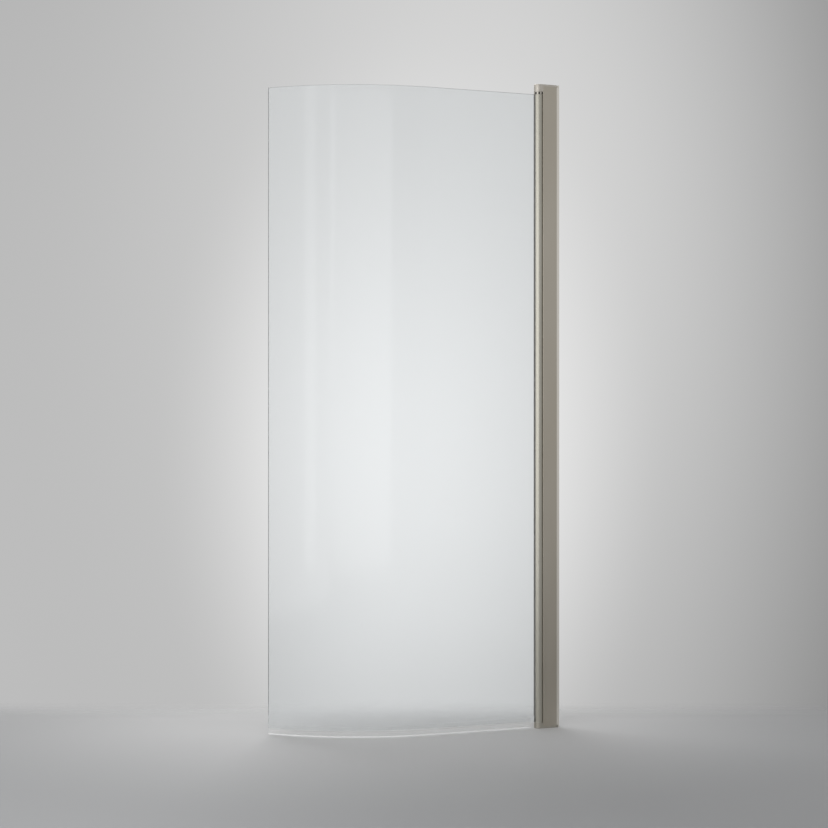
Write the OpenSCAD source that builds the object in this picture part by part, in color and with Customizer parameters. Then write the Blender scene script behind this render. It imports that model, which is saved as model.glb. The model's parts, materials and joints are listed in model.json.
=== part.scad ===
// A curved glass shower screen, hinged on an upright wall post.
// The wall is the plane X = 0 and the floor is Z = 0. The screen reaches out along -X,
// its glass bends towards +Y, which is the shower side, and -Y is the room side.
// Inside from_wall() every x is a distance out from the wall.

/* [Overall] */
// Height from the floor to the top of the top bracket
overall_h = 2000; // [1600:10:2400]
// Depth of the post and the brackets, and diameter of the hinge tube
profile_d = 28; // [26:0.5:34]

/* [Wall channel] */
// Gap between the wall and the post at rest
wall_gap = 9; // [7:0.5:12]
// How far the flanges reach out from the wall
channel_reach = 35; // [33:0.5:35]
// Thickness of the part that lies on the wall
channel_base_t = 2.5; // [2:0.1:3]
// Thickness of the flanges
channel_flange_t = 1.8; // [1.4:0.1:2.2]
// Distance of the first and last wall screw from the ends
wall_hole_inset = 100; // [60:5:150]
// Radius of the holes for the wall screws
wall_hole_r = 3; // [2.5:0.1:3.5]
// Number of wall screws
wall_holes = 4; // [2:1:6]

/* [Post] */
// Width of the post, measured out from the wall
post_w = 47; // [44:0.5:60]
// Wall thickness of the post
post_t = 1.8; // [1.5:0.1:2.4]
// Thickness of the web behind the hollow seat of the hinge tube
seat_web_t = 3.5; // [2.5:0.1:4]
// Radius of the post's long outer edges
post_edge_r = 1; // [0.4:0.1:1.5]
// Distance from the front edge of the post to the hinge axis
axis_offset = 9.5; // [9:0.1:11]
// Running gap between the hinge tube and its seat
seat_gap = 1; // [0.8:0.1:1.6]
// Play between the post and the wall channel on each side
slide_play = 0.2; // [0.1:0.05:0.4]
// How far the post can be pushed in from its rest position
adjust_in = 4; // [2:0.5:4]
// How far the post can be pulled out from its rest position
adjust_out = 11; // [6:0.5:11]
// Outer radius of the screw ports
port_r = 3; // [2.6:0.1:3.2]
// Gap between a screw port and the web behind the seat
port_front_gap = 0.6; // [0.4:0.1:1]
// Gap between a screw port and the side of the post
port_side_gap = 1.2; // [1:0.1:2]
// Width of the rib that joins a port to the side of the post
port_rib_w = 2.4; // [2:0.1:3]

/* [Post seals] */
// Width of a seal, in degrees round the hinge axis
post_seal_angle = 8; // [5:1:9]
// Direction of a seal, in degrees from the line of the glass
post_seal_from = 134; // [133:1:136]
// Depth of the groove that holds a seal
post_seal_depth = 1.8; // [1.2:0.1:2]
// Gap between a seal and the hinge tube
post_seal_gap = 0.3; // [0.2:0.05:0.6]

/* [Clamp screws] */
// Distance of the clamp screws from the wall at rest
clamp_x = 19; // [18:0.5:19]
// Distance of the end clamp screws from the ends of the post
clamp_inset = 150; // [120:5:250]
// Number of clamp screws
clamps = 3; // [2:1:5]
// Radius of a clamp screw
clamp_r = 2; // [1.8:0.1:2.2]
// Clearance round a clamp screw in the post and the channel
clamp_play = 0.3; // [0.2:0.1:0.5]
// Radius of a clamp screw's head
clamp_head_r = 3.6; // [3.2:0.1:4]
// Height of a clamp screw's head
clamp_head_h = 2; // [1.6:0.1:2.4]
// Side of a square clamp nut
clamp_nut_w = 12; // [10:0.5:13]
// Thickness of a clamp nut
clamp_nut_t = 3; // [2.5:0.1:4]
// Outer radius of a screw cap
cap_r = 6.5; // [6:0.1:8]
// Height of a screw cap
cap_h = 4; // [3.6:0.1:5]
// Wall thickness of a screw cap
cap_t = 1.2; // [1:0.1:1.4]

/* [Brackets] */
// Thickness of the top bracket's plate
top_plate_t = 6; // [5:0.5:8]
// Thickness of the bottom bracket's plate
bottom_plate_t = 7; // [5:0.5:9]
// Height of the top bracket's nose
top_nose_h = 23; // [20:0.5:28]
// Height of the bottom bracket's nose
bottom_nose_h = 17; // [14:0.5:20]
// Chamfer along the outer edges of the brackets
bracket_chamfer = 1; // [0.5:0.1:1.4]
// Gap between a nose and the front edge of the post
nose_gap = 0.2; // [0.1:0.1:0.4]
// Shank radius of a bracket screw
bracket_screw_r = 1.7; // [1.5:0.1:1.9]
// Head radius of a bracket screw
bracket_head_r = 3.6; // [3.2:0.1:3.8]
// Height of the cone under a bracket screw's head
bracket_head_h = 2.2; // [2:0.1:2.5]
// Length of a bracket screw
bracket_screw_l = 26; // [20:1:40]

/* [Pivots] */
// Radius of both pivot pins inside their bushes
pin_r = 4; // [3.5:0.1:4.4]
// Radius of the top pin inside the nose
pin_shank_r = 5; // [4.6:0.1:5.5]
// Length of a pin inside the door
pin_reach = 36; // [30:1:40]
// Height above the floor at which the bottom pin's blind hole ends
bottom_pin_z = 4; // [3:0.5:6]
// Depth at which the top pin lies below the top of the nose
pin_sink = 3; // [2:0.5:5]
// Radial clearance of a pin in its bush
pin_play = 0.05; // [0.02:0.01:0.1]
// Wall thickness of a bush
bush_t = 1.45; // [1.2:0.05:1.6]
// Thickness of a bush's flange
bush_flange_t = 1.5; // [1:0.1:2]
// How far a bush's flange stands out past its sleeve
bush_flange_w = 1; // [0.6:0.1:1.1]
// Length of a plug in the hinge tube
plug_l = 42; // [40:1:60]
// Plastic left between a bush and the glass slot
plug_web_t = 1.3; // [1.2:0.1:2]
// Height of the slotted lock ring
ring_h = 7.2; // [6:0.1:9]
// Gap above and below the lock ring
ring_gap = 0.4; // [0.3:0.1:0.6]
// Number of slots in the lock ring
ring_slots = 8; // [6:1:10]
// Width of a slot in the lock ring
ring_slot_w = 5.4; // [4:0.1:5.5]
// Height of the closed band above the slots
ring_band_h = 1.2; // [1:0.1:2]
// Turn of the lock ring as it was tightened, in degrees
ring_turn = 30; // [0:1:44]
// Radius of the dark collar inside the lock ring
collar_r = 11.4; // [8:0.1:11.6]
// Thickness of the thrust washer
washer_t = 1.5; // [1:0.1:2.5]
// How far the thrust washer stays inside the edge of the nose
washer_inset = 0.6; // [0.2:0.1:3]
// Running gap between the door and what it turns on
run_gap = 0.1; // [0.05:0.05:0.2]

/* [Hinge tube] */
// Wall thickness of the hinge tube
tube_t = 2; // [1.6:0.1:2.4]
// Thickness of the ribs beside the glass slot
rib_t = 1.5; // [1.2:0.1:1.8]
// Depth of the glass slot past the hinge axis
slot_past_axis = 4; // [3.5:0.1:4.5]
// Clearance of a plug in the hinge tube
plug_play = 0.05; // [0.02:0.01:0.1]

/* [Glass] */
// Thickness of the glass
glass_t = 6; // [5:1:8]
// Length of the flat part of the glass from the hinge axis
straight_l = 364.5; // [250:0.5:500]
// Radius of the bend at the middle of the glass
bend_r = 640; // [450:5:800]
// Angle of the bend
bend_angle = 45; // [30:1:60]
// Height of the lower edge of the glass above the floor
glass_lift = 21; // [20:0.5:30]
// Distance of the glass edge past the hinge axis, inside the tube
glass_past_axis = 2; // [1:0.1:2]
// Height of the corner notches round the plugs
notch_h = 45; // [44:1:70]
// Gap between the glass and a plug
notch_gap = 0.4; // [0.3:0.1:1]

/* [Glass gaskets] */
// Thickness of a gasket beside the glass
gasket_t = 2; // [1.5:0.1:2.2]
// How far a gasket stands out of the hinge tube
gasket_bead = 1.4; // [1:0.1:4]
// Thickness of a gasket at its outer edge
gasket_tip_t = 0.7; // [0.5:0.1:1.2]
// Height of a gasket's lower end above the floor
gasket_lift = 38; // [35:1:50]

/* [Glazing blocks] */
// Length of a glazing block
block_l = 60; // [40:5:100]
// Distance of the end blocks from the ends of the glass
block_inset = 150; // [120:5:250]
// Number of glazing blocks
blocks = 3; // [2:1:5]
// Depth to which a block grips the glass
block_grip = 5; // [4:0.5:6]
// Play between a block and the sides of its slot
block_play = 0.1; // [0.05:0.05:0.2]

/* [Bottom seal] */
// Thickness of the legs that grip the glass
seal_leg_t = 1.2; // [0.8:0.1:1.6]
// Height of the legs above the edge of the glass
seal_leg_h = 12; // [8:0.5:16]
// Thickness of the web under the glass
seal_web_t = 2.4; // [1.6:0.1:3]
// Play between the seal and the glass
seal_play = 0.1; // [0.05:0.05:0.2]
// Thickness of the lip that hangs to the floor
seal_lip_t = 1.6; // [1:0.1:2.5]
// Gap between the lip and the floor
seal_floor_gap = 0.8; // [0.5:0.1:2]
// Distance of the seal's inner end from the hinge axis
seal_start = 28; // [22:0.5:40]
// How far the drip edge stands out on the shower side
drip_w = 5; // [3:0.5:8]
// How far the drip edge slopes down
drip_drop = 5; // [3:0.5:8]

/* [Hidden] */

// Smoothness of the previews
$fn = 96;
// Overshoot that keeps cuts clear of the faces they pass through
eps = 1;
// Clearance of the wall channel's ends to the bracket plates
relief_play = 0.5;
// Size of a key socket as a share of the screw that holds it
socket_share = 0.6;

profile_r = profile_d / 2;
front_x = wall_gap + post_w;
axis_x = front_x + axis_offset;

// The post stands between the two bracket plates.
post_bottom = bottom_plate_t;
post_top = overall_h - top_plate_t;
cavity_y = profile_r - post_t;
seat_r = profile_r + seat_gap;
cavity_end_x = axis_x - seat_r - seat_web_t;
port_x = cavity_end_x - port_r - port_front_gap;
port_y = cavity_y - port_r - port_side_gap;

channel_y = cavity_y - slide_play;
channel_inner_y = channel_y - channel_flange_t;
relief_x = wall_gap - adjust_in - relief_play;
wall_hole_pitch = (overall_h - 2 * wall_hole_inset) / (wall_holes - 1);

clamp_hole_r = clamp_r + clamp_play;
clamp_pitch = (overall_h - 2 * clamp_inset) / (clamps - 1);

// From the nose down: the lock ring, then the door, with a small gap between each.
top_nose_z = overall_h - top_nose_h;
ring_z = top_nose_z - ring_gap - ring_h;
door_top = ring_z - ring_gap;
door_bottom = bottom_nose_h + washer_t + run_gap;
nose_back_x = front_x + nose_gap;
washer_r = profile_r - washer_inset;

bush_bore_r = pin_r + pin_play;
bush_r = bush_bore_r + bush_t;
tube_bore_r = profile_r - tube_t;
plug_r = tube_bore_r - plug_play;
plug_slot = bush_r + plug_web_t;

slot_y = glass_t / 2 + gasket_t;
slot_floor_x = axis_x - slot_past_axis;
glass_edge_x = axis_x - glass_past_axis;
notch_x = axis_x + plug_slot + notch_gap;
bend_x = axis_x + straight_l;
block_pitch = (door_top - glass_lift - 2 * block_inset) / (blocks - 1);

// Colours
bronze = [0.56, 0.53, 0.49];
steel = [0.72, 0.72, 0.70];
dark_rubber = [0.22, 0.22, 0.22];
nylon = [0.85, 0.84, 0.80];
black_nylon = [0.10, 0.10, 0.10];
frosted = [0.80, 0.86, 0.86, 0.6];
clear_vinyl = [0.88, 0.91, 0.92, 0.6];

// Turns x, a distance out from the wall, into the screen's own frame.
module from_wall() {
    mirror([1, 0, 0]) children();
}

module at_axis(z = 0) {
    translate([axis_x, 0, z]) children();
}

// Lays an extrusion along x, with its drawing's x as y and its drawing's y as z.
module along_x(from_x, to_x) {
    translate([from_x, 0, 0]) rotate([90, 0, 90]) linear_extrude(to_x - from_x) children();
}

// Sweeps a section, drawn as distance from the middle of the glass and height,
// along the flat part from start_x and then round the bend.
module along_glass(start_x) {
    along_x(start_x, bend_x) children();
    translate([bend_x, bend_r, 0])
        rotate_extrude(angle = bend_angle, start = -90, $fn = 240)
            translate([bend_r, 0]) mirror([1, 0]) children();
}

// A sector of a ring about the hinge axis, from an angle measured from the line of the glass.
module axis_arc(inner_r, outer_r, from_angle, from_z, to_z) {
    at_axis(from_z)
        rotate_extrude(angle = post_seal_angle, start = from_angle)
            translate([inner_r, 0]) square([outer_r - inner_r, to_z - from_z]);
}

module wall_channel() {
    color(bronze) from_wall() difference() {
        linear_extrude(overall_h) difference() {
            translate([0, -channel_y]) square([channel_reach, 2 * channel_y]);
            translate([channel_base_t, -channel_inner_y])
                square([channel_reach, 2 * channel_inner_y]);
        }
        // The flanges are cut back at both ends to clear the bracket plates.
        end_cut(-eps, bottom_plate_t);
        end_cut(post_top - relief_play, top_plate_t);
        for (i = [0 : wall_holes - 1])
            translate([-eps, 0, wall_hole_inset + i * wall_hole_pitch])
                rotate([0, 90, 0]) cylinder(h = channel_base_t + 2 * eps, r = wall_hole_r);
        // The clamp screws run in level slots, which let the post be moved in and out.
        each_clamp() for (shift = [-adjust_in, adjust_out])
            translate([shift, channel_inner_y - eps, 0])
                clamp_rod(clamp_hole_r, channel_flange_t + 2 * eps);
        each_clamp()
            translate([-adjust_in, channel_inner_y - eps, -clamp_hole_r])
                cube([adjust_in + adjust_out, channel_flange_t + 2 * eps, 2 * clamp_hole_r]);
    }
}

// Clears the wall channel's flanges for a bracket plate.
module end_cut(from_z, plate_t) {
    translate([relief_x, -profile_r, from_z])
        cube([channel_reach, profile_d, plate_t + relief_play + eps]);
}

// Repeats a shape at each clamp screw, on the shower side of the post.
module each_clamp() {
    for (i = [0 : clamps - 1]) translate([clamp_x, 0, clamp_inset + i * clamp_pitch]) children();
}

// A round rod along +y that starts at y = 0.
module clamp_rod(r, length) {
    rotate([-90, 0, 0]) cylinder(h = length, r = r);
}

module post_outline() {
    inner_w = post_w - 2 * post_edge_r;
    inner_d = profile_d - 2 * post_edge_r;
    translate([wall_gap + post_edge_r, -profile_r]) square([inner_w, profile_d]);
    translate([wall_gap, -inner_d / 2]) square([post_w, inner_d]);
    for (x = [0, inner_w], y = [0, inner_d])
        translate([wall_gap + post_edge_r + x, y - inner_d / 2]) circle(r = post_edge_r);
}

module post_section() {
    difference() {
        post_outline();
        translate([wall_gap - eps, -cavity_y])
            square([cavity_end_x - wall_gap + eps, 2 * cavity_y]);
        translate([axis_x, 0]) circle(r = seat_r);
    }
    for (side = [0, 1]) mirror([0, side]) difference() {
        union() {
            translate([port_x, port_y]) circle(r = port_r);
            translate([port_x - port_rib_w / 2, port_y])
                square([port_rib_w, cavity_y - port_y + post_t / 2]);
        }
        translate([port_x, port_y]) circle(r = bracket_screw_r);
    }
}

module hinge_post() {
    color(bronze) from_wall() difference() {
        translate([0, 0, post_bottom]) linear_extrude(post_top - post_bottom) post_section();
        for (side = [0, 1]) mirror([0, side, 0])
            axis_arc(seat_r - eps, seat_r + post_seal_depth, post_seal_from,
                     post_bottom - eps, post_top + eps);
        each_clamp() translate([0, cavity_y - eps, 0]) clamp_rod(clamp_hole_r, post_t + 2 * eps);
    }
}

module post_seal() {
    axis_arc(profile_r + post_seal_gap, seat_r + post_seal_depth, post_seal_from,
             post_bottom, post_top);
}

module outer_post_seal() {
    color(dark_rubber) from_wall() mirror([0, 1, 0]) post_seal();
}

module inner_post_seal() {
    color(dark_rubber) from_wall() post_seal();
}

// A cut for a hexagon key, which opens upwards at z = 0.
module key_socket(across_r, depth) {
    translate([0, 0, -depth]) cylinder(h = depth + eps, r = across_r, $fn = 6);
}

module clamp_screws() {
    nut_end = channel_inner_y - run_gap - clamp_nut_t;
    color(steel) from_wall() each_clamp() difference() {
        union() {
            translate([0, nut_end, 0]) clamp_rod(clamp_r, profile_r - nut_end);
            translate([0, profile_r, 0]) clamp_rod(clamp_head_r, clamp_head_h);
        }
        translate([0, profile_r + clamp_head_h, 0]) rotate([-90, 0, 0])
            key_socket(clamp_r * socket_share, clamp_head_h * socket_share);
    }
}

module clamp_nuts() {
    color(steel) from_wall() each_clamp()
        translate([0, channel_inner_y - run_gap - clamp_nut_t, 0]) difference() {
            translate([-clamp_nut_w / 2, 0, -clamp_nut_w / 2])
                cube([clamp_nut_w, clamp_nut_t, clamp_nut_w]);
            translate([0, -eps, 0]) clamp_rod(clamp_r, clamp_nut_t + 2 * eps);
        }
}

module screw_caps() {
    inner_h = cap_h - cap_t;
    color(bronze) from_wall() each_clamp()
        translate([0, profile_r, 0]) rotate([-90, 0, 0]) difference() {
            rotate_extrude() polygon([
                [0, 0], [cap_r, 0], [cap_r, cap_h - cap_t], [cap_r - cap_t, cap_h], [0, cap_h]
            ]);
            translate([0, 0, -eps]) cylinder(h = inner_h + eps, r = cap_r - cap_t);
        }
}

// Half of a bracket's section: a block of half width profile_r, chamfered along its outer end.
module bracket_half(h) {
    polygon([
        [0, 0], [profile_r, 0], [profile_r, h - bracket_chamfer],
        [profile_r - bracket_chamfer, h], [0, h]
    ]);
}

// A bar of a bracket between two distances from the wall.
module bracket_bar(from_x, to_x, h) {
    along_x(from_x, to_x) for (side = [0, 1]) mirror([side, 0]) bracket_half(h);
}

// A bracket with its nose standing on z = 0 and its outer face at z = nose_h.
module bracket_body(plate_t, nose_h) {
    difference() {
        union() {
            at_axis() rotate_extrude() bracket_half(nose_h);
            bracket_bar(nose_back_x, axis_x, nose_h);
            translate([0, 0, nose_h - plate_t]) bracket_bar(wall_gap, nose_back_x, plate_t);
        }
        each_port() translate([0, 0, nose_h]) bracket_screw_shape(bracket_screw_l);
    }
}

module each_port() {
    for (side = [-1, 1]) translate([port_x, side * port_y, 0]) children();
}

// A countersunk screw that hangs down from z = 0.
module bracket_screw_shape(length) {
    translate([0, 0, -length]) cylinder(h = length, r = bracket_screw_r);
    translate([0, 0, -bracket_head_h])
        cylinder(h = bracket_head_h, r1 = bracket_screw_r, r2 = bracket_head_r);
}

module bracket_screw() {
    difference() {
        bracket_screw_shape(bracket_screw_l);
        key_socket(bracket_screw_r * socket_share, bracket_head_h * socket_share);
    }
}

// Turns a shape over, so that what faced up at z = 0 faces the floor.
module upside_down() {
    mirror([0, 0, 1]) children();
}

module top_bracket() {
    color(bronze) from_wall() difference() {
        translate([0, 0, top_nose_z]) bracket_body(top_plate_t, top_nose_h);
        at_axis(top_nose_z - eps) cylinder(h = top_nose_h + 2 * eps, r = pin_shank_r);
    }
}

module top_bracket_screws() {
    color(steel) from_wall() each_port() translate([0, 0, overall_h]) bracket_screw();
}

module top_pivot_pin() {
    head_z = overall_h - pin_sink;
    color(steel) from_wall() at_axis() difference() {
        union() {
            translate([0, 0, door_top - pin_reach]) cylinder(h = pin_reach + eps, r = pin_r);
            translate([0, 0, door_top + run_gap])
                cylinder(h = head_z - door_top - run_gap, r = pin_shank_r);
        }
        translate([0, 0, head_z]) key_socket(pin_shank_r * socket_share, pin_shank_r);
    }
}

module pivot_collar() {
    bottom = door_top + run_gap;
    color(black_nylon) from_wall() at_axis(bottom) difference() {
        cylinder(h = top_nose_z - bottom, r = collar_r);
        translate([0, 0, -eps]) cylinder(h = top_nose_z - bottom + 2 * eps, r = pin_shank_r);
    }
}

module pivot_lock_ring() {
    bore_r = collar_r + run_gap;
    color(bronze) translate([-axis_x, 0, ring_z]) difference() {
        cylinder(h = ring_h, r = profile_r);
        translate([0, 0, -eps]) cylinder(h = ring_h + 2 * eps, r = bore_r);
        for (i = [0 : ring_slots - 1]) rotate(ring_turn + i * 360 / ring_slots)
            translate([0, -ring_slot_w / 2, -eps])
                cube([profile_r + eps, ring_slot_w, ring_h - ring_band_h + eps]);
    }
}

module bottom_bracket() {
    color(bronze) from_wall() difference() {
        translate([0, 0, bottom_nose_h]) upside_down() bracket_body(bottom_plate_t, bottom_nose_h);
        at_axis(bottom_pin_z) cylinder(h = bottom_nose_h, r = pin_r);
    }
}

module bottom_bracket_screws() {
    color(steel) from_wall() each_port() upside_down() bracket_screw();
}

module bottom_pivot_pin() {
    color(steel) from_wall() at_axis(bottom_pin_z)
        cylinder(h = door_bottom + pin_reach - bottom_pin_z, r = pin_r);
}

module thrust_washer() {
    color(bronze) from_wall() at_axis(bottom_nose_h) difference() {
        cylinder(h = washer_t, r = washer_r);
        translate([0, 0, -eps]) cylinder(h = washer_t + 2 * eps, r = bush_bore_r);
    }
}

// The hinge tube's ends are bored clear for the plugs, and its middle has ribs beside the slot.
module tube_section(ribs) {
    difference() {
        union() {
            difference() {
                circle(r = profile_r);
                circle(r = tube_bore_r);
            }
            if (ribs) intersection() {
                circle(r = profile_r - tube_t / 2);
                translate([-slot_past_axis - rib_t, -slot_y - rib_t])
                    square([profile_r + slot_past_axis + rib_t, 2 * (slot_y + rib_t)]);
            }
        }
        translate([ribs ? -slot_past_axis : 0, -slot_y]) square([profile_d, 2 * slot_y]);
    }
}

module hinge_tube() {
    bored = plug_l + eps;
    color(bronze) from_wall() at_axis(door_bottom) {
        linear_extrude(bored) tube_section(false);
        translate([0, 0, bored])
            linear_extrude(door_top - door_bottom - 2 * bored) tube_section(true);
        translate([0, 0, door_top - door_bottom - bored]) linear_extrude(bored) tube_section(false);
    }
}

// A plug or its bush is drawn with its outer end up at z = 0.
module plug() {
    difference() {
        translate([0, 0, -plug_l]) cylinder(h = plug_l, r = plug_r);
        translate([0, 0, -plug_l - eps]) cylinder(h = plug_l + 2 * eps, r = bush_r);
        translate([0, 0, -bush_flange_t]) cylinder(h = bush_flange_t + eps, r = bush_r + bush_flange_w);
        translate([plug_slot, -slot_y, -plug_l - eps])
            cube([profile_r, 2 * slot_y, plug_l + 2 * eps]);
    }
}

module bush() {
    difference() {
        union() {
            translate([0, 0, -plug_l]) cylinder(h = plug_l, r = bush_r);
            translate([0, 0, -bush_flange_t])
                cylinder(h = bush_flange_t, r = bush_r + bush_flange_w);
        }
        translate([0, 0, -plug_l - eps]) cylinder(h = plug_l + 2 * eps, r = bush_bore_r);
    }
}

module top_plug() {
    color(black_nylon) from_wall() at_axis(door_top) plug();
}

module top_bush() {
    color(nylon) from_wall() at_axis(door_top) bush();
}

module bottom_plug() {
    color(black_nylon) from_wall() at_axis(door_bottom) upside_down() plug();
}

module bottom_bush() {
    color(nylon) from_wall() at_axis(door_bottom) upside_down() bush();
}

module glass_panel() {
    color(frosted) from_wall() difference() {
        along_glass(glass_edge_x)
            translate([-glass_t / 2, glass_lift]) square([glass_t, door_top - glass_lift]);
        for (z = [glass_lift - eps, door_top - notch_h])
            translate([glass_edge_x - eps, -glass_t, z])
                cube([notch_x - glass_edge_x + eps, 2 * glass_t, notch_h + eps]);
    }
}

module gasket() {
    inner_x = notch_x - axis_x;
    outer_x = profile_r + gasket_bead;
    face_y = glass_t / 2;
    at_axis(gasket_lift) linear_extrude(door_top - gasket_lift) polygon([
        [inner_x, face_y], [outer_x, face_y], [outer_x, face_y + gasket_tip_t],
        [outer_x - gasket_t, slot_y], [inner_x, slot_y]
    ]);
}

module outer_gasket() {
    color(dark_rubber) from_wall() mirror([0, 1, 0]) gasket();
}

module inner_gasket() {
    color(dark_rubber) from_wall() gasket();
}

module glazing_blocks() {
    half_w = slot_y - block_play;
    back_x = slot_floor_x;
    color(nylon) from_wall() for (i = [0 : blocks - 1])
        translate([0, 0, glass_lift + block_inset + i * block_pitch - block_l / 2])
            linear_extrude(block_l) difference() {
                translate([back_x, -half_w]) square([glass_edge_x - back_x + block_grip, 2 * half_w]);
                translate([glass_edge_x, -glass_t / 2]) square([block_grip + eps, glass_t]);
            }
}

module seal_section() {
    inner_w = glass_t / 2 + seal_play;
    outer_w = inner_w + seal_leg_t;
    web_top = glass_lift - seal_play;
    web_bottom = web_top - seal_web_t;
    for (side = [0, 1]) mirror([side, 0])
        translate([inner_w, web_bottom])
            square([seal_leg_t, seal_leg_h + seal_web_t]);
    translate([-outer_w, web_bottom]) square([2 * outer_w, seal_web_t]);
    translate([-seal_lip_t / 2, seal_floor_gap])
        square([seal_lip_t, web_bottom - seal_floor_gap + seal_web_t / 2]);
    // The drip edge slopes down on the shower side.
    polygon([
        [outer_w, web_top], [outer_w + drip_w, web_top - drip_drop],
        [outer_w + drip_w, web_top - drip_drop - seal_leg_t], [outer_w - seal_leg_t, web_bottom]
    ]);
}

module bottom_seal() {
    color(clear_vinyl) from_wall() along_glass(axis_x + seal_start) seal_section();
}

wall_channel();
hinge_post();
outer_post_seal();
inner_post_seal();
clamp_screws();
clamp_nuts();
screw_caps();
top_bracket();
top_bracket_screws();
top_pivot_pin();
pivot_collar();
pivot_lock_ring();
bottom_bracket();
bottom_bracket_screws();
bottom_pivot_pin();
thrust_washer();
hinge_tube();
top_plug();
top_bush();
bottom_plug();
bottom_bush();
glass_panel();
outer_gasket();
inner_gasket();
glazing_blocks();
bottom_seal();
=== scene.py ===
# %% [markdown]
# # A curved shower screen
#
# The real screen is a sheet of lightly frosted glass that bends away into the shower. It hangs
# in a round hinge tube, and the tube turns between two brackets on a slim upright post.
# The construction is already drawn as an exact frame, in metres: the post is fixed to the plane
# X = 0, the floor is Z = 0, the screen reaches out along -X and its glass bends towards +Y.
# This lesson gives that frame its finishes, and models again, by hand, the pieces whose soft
# edges, lips and roundings an exact drawing leaves out.

# %% Load the frame
import json
import math

import bmesh
import bpy
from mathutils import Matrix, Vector


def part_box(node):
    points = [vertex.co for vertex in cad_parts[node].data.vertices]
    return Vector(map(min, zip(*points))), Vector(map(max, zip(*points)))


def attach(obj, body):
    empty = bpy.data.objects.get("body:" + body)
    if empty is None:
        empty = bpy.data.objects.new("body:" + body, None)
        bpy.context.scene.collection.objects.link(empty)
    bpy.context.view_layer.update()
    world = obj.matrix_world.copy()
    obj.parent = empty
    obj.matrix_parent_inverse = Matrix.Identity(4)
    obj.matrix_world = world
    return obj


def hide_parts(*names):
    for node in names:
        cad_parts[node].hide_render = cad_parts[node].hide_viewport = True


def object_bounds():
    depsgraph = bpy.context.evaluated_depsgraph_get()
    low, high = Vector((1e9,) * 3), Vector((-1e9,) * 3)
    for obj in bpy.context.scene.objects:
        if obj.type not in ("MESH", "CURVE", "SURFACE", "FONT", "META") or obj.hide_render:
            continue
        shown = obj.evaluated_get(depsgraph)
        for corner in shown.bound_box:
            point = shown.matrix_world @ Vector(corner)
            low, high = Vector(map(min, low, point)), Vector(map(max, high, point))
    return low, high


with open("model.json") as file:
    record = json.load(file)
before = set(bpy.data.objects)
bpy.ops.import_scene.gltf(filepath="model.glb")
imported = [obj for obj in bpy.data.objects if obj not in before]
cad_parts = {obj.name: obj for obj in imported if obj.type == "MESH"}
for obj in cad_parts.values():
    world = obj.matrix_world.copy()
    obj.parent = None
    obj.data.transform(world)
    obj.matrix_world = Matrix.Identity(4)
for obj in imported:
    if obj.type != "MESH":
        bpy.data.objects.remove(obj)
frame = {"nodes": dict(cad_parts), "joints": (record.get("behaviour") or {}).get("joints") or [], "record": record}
nodes = frame["nodes"]
cad_low, cad_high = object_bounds()
print("CAD nodes:", len(nodes), "box in mm:", [round(1000 * side) for side in cad_high - cad_low])

# %% [markdown]
# ## The camera
#
# The photograph was taken with a long lens, level, from a little under half the screen's height.
# So the upright edges stay parallel, and the floor shows only as a low band.
# The place was found by fitting the top and bottom edges of the curved glass.

# %% Place the camera
PHOTO_SIDE = 828  # the photograph's width and height in pixels
FOCAL_PIXELS = 1756  # its focal length, counted in those pixels
SENSOR = 36.0

lens = bpy.data.cameras.new("photo_camera")
lens.sensor_width = SENSOR
lens.lens = FOCAL_PIXELS / PHOTO_SIDE * SENSOR
camera = bpy.data.objects.new("photo_camera", lens)
camera.location = (-2.382, -4.962, 0.976)
looks_along = Vector((0.358, 0.934, 0.0))
camera.rotation_euler = looks_along.to_track_quat("-Z", "Y").to_euler()
bpy.context.scene.collection.objects.link(camera)
bpy.context.scene.camera = camera
bpy.context.scene.view_settings.view_transform = "Standard"
print("lens in mm:", round(lens.lens, 1))

# %% [markdown]
# ## Shader maths as Python
#
# A finish is a small program made of nodes. Adding and linking each node by hand hides the idea
# behind it, so one class holds a socket and gives it Python's own operators. `1 - grain * 0.2`
# then adds the Math nodes for that sum. Every other node comes from one method, which takes the
# node's type, its settings and the values or links of its sockets.


# %% A socket that can be reckoned with
class Wire:
    """The output of a node. An expression on wires adds the Math nodes that work it out."""

    def __init__(self, graph, socket):
        self.graph = graph
        self.socket = socket

    def out(self, name):
        return Wire(self.graph, self.socket.node.outputs[name])

    def maths(self, operation, *values):
        return self.graph.add("ShaderNodeMath", {"operation": operation}, dict(enumerate(values)))

    def __add__(self, other):
        return self.maths("ADD", self, other)

    def __radd__(self, other):
        return self.maths("ADD", other, self)

    def __sub__(self, other):
        return self.maths("SUBTRACT", self, other)

    def __rsub__(self, other):
        return self.maths("SUBTRACT", other, self)

    def __mul__(self, other):
        return self.maths("MULTIPLY", self, other)

    def __rmul__(self, other):
        return self.maths("MULTIPLY", other, self)

    def __or__(self, other):
        return self.maths("MAXIMUM", self, other)

    def between(self, low, high, kind="SMOOTHSTEP"):
        """A step from 0 at low to 1 at high, soft or else LINEAR."""
        return self.graph.add(
            "ShaderNodeMapRange", {"interpolation_type": kind},
            {"Value": self, "From Min": low, "From Max": high})


# %% A node tree that is added to by one method
MIX_A, MIX_B, MIX_RESULT = 6, 7, 2  # the colour sockets of a Mix node


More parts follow.
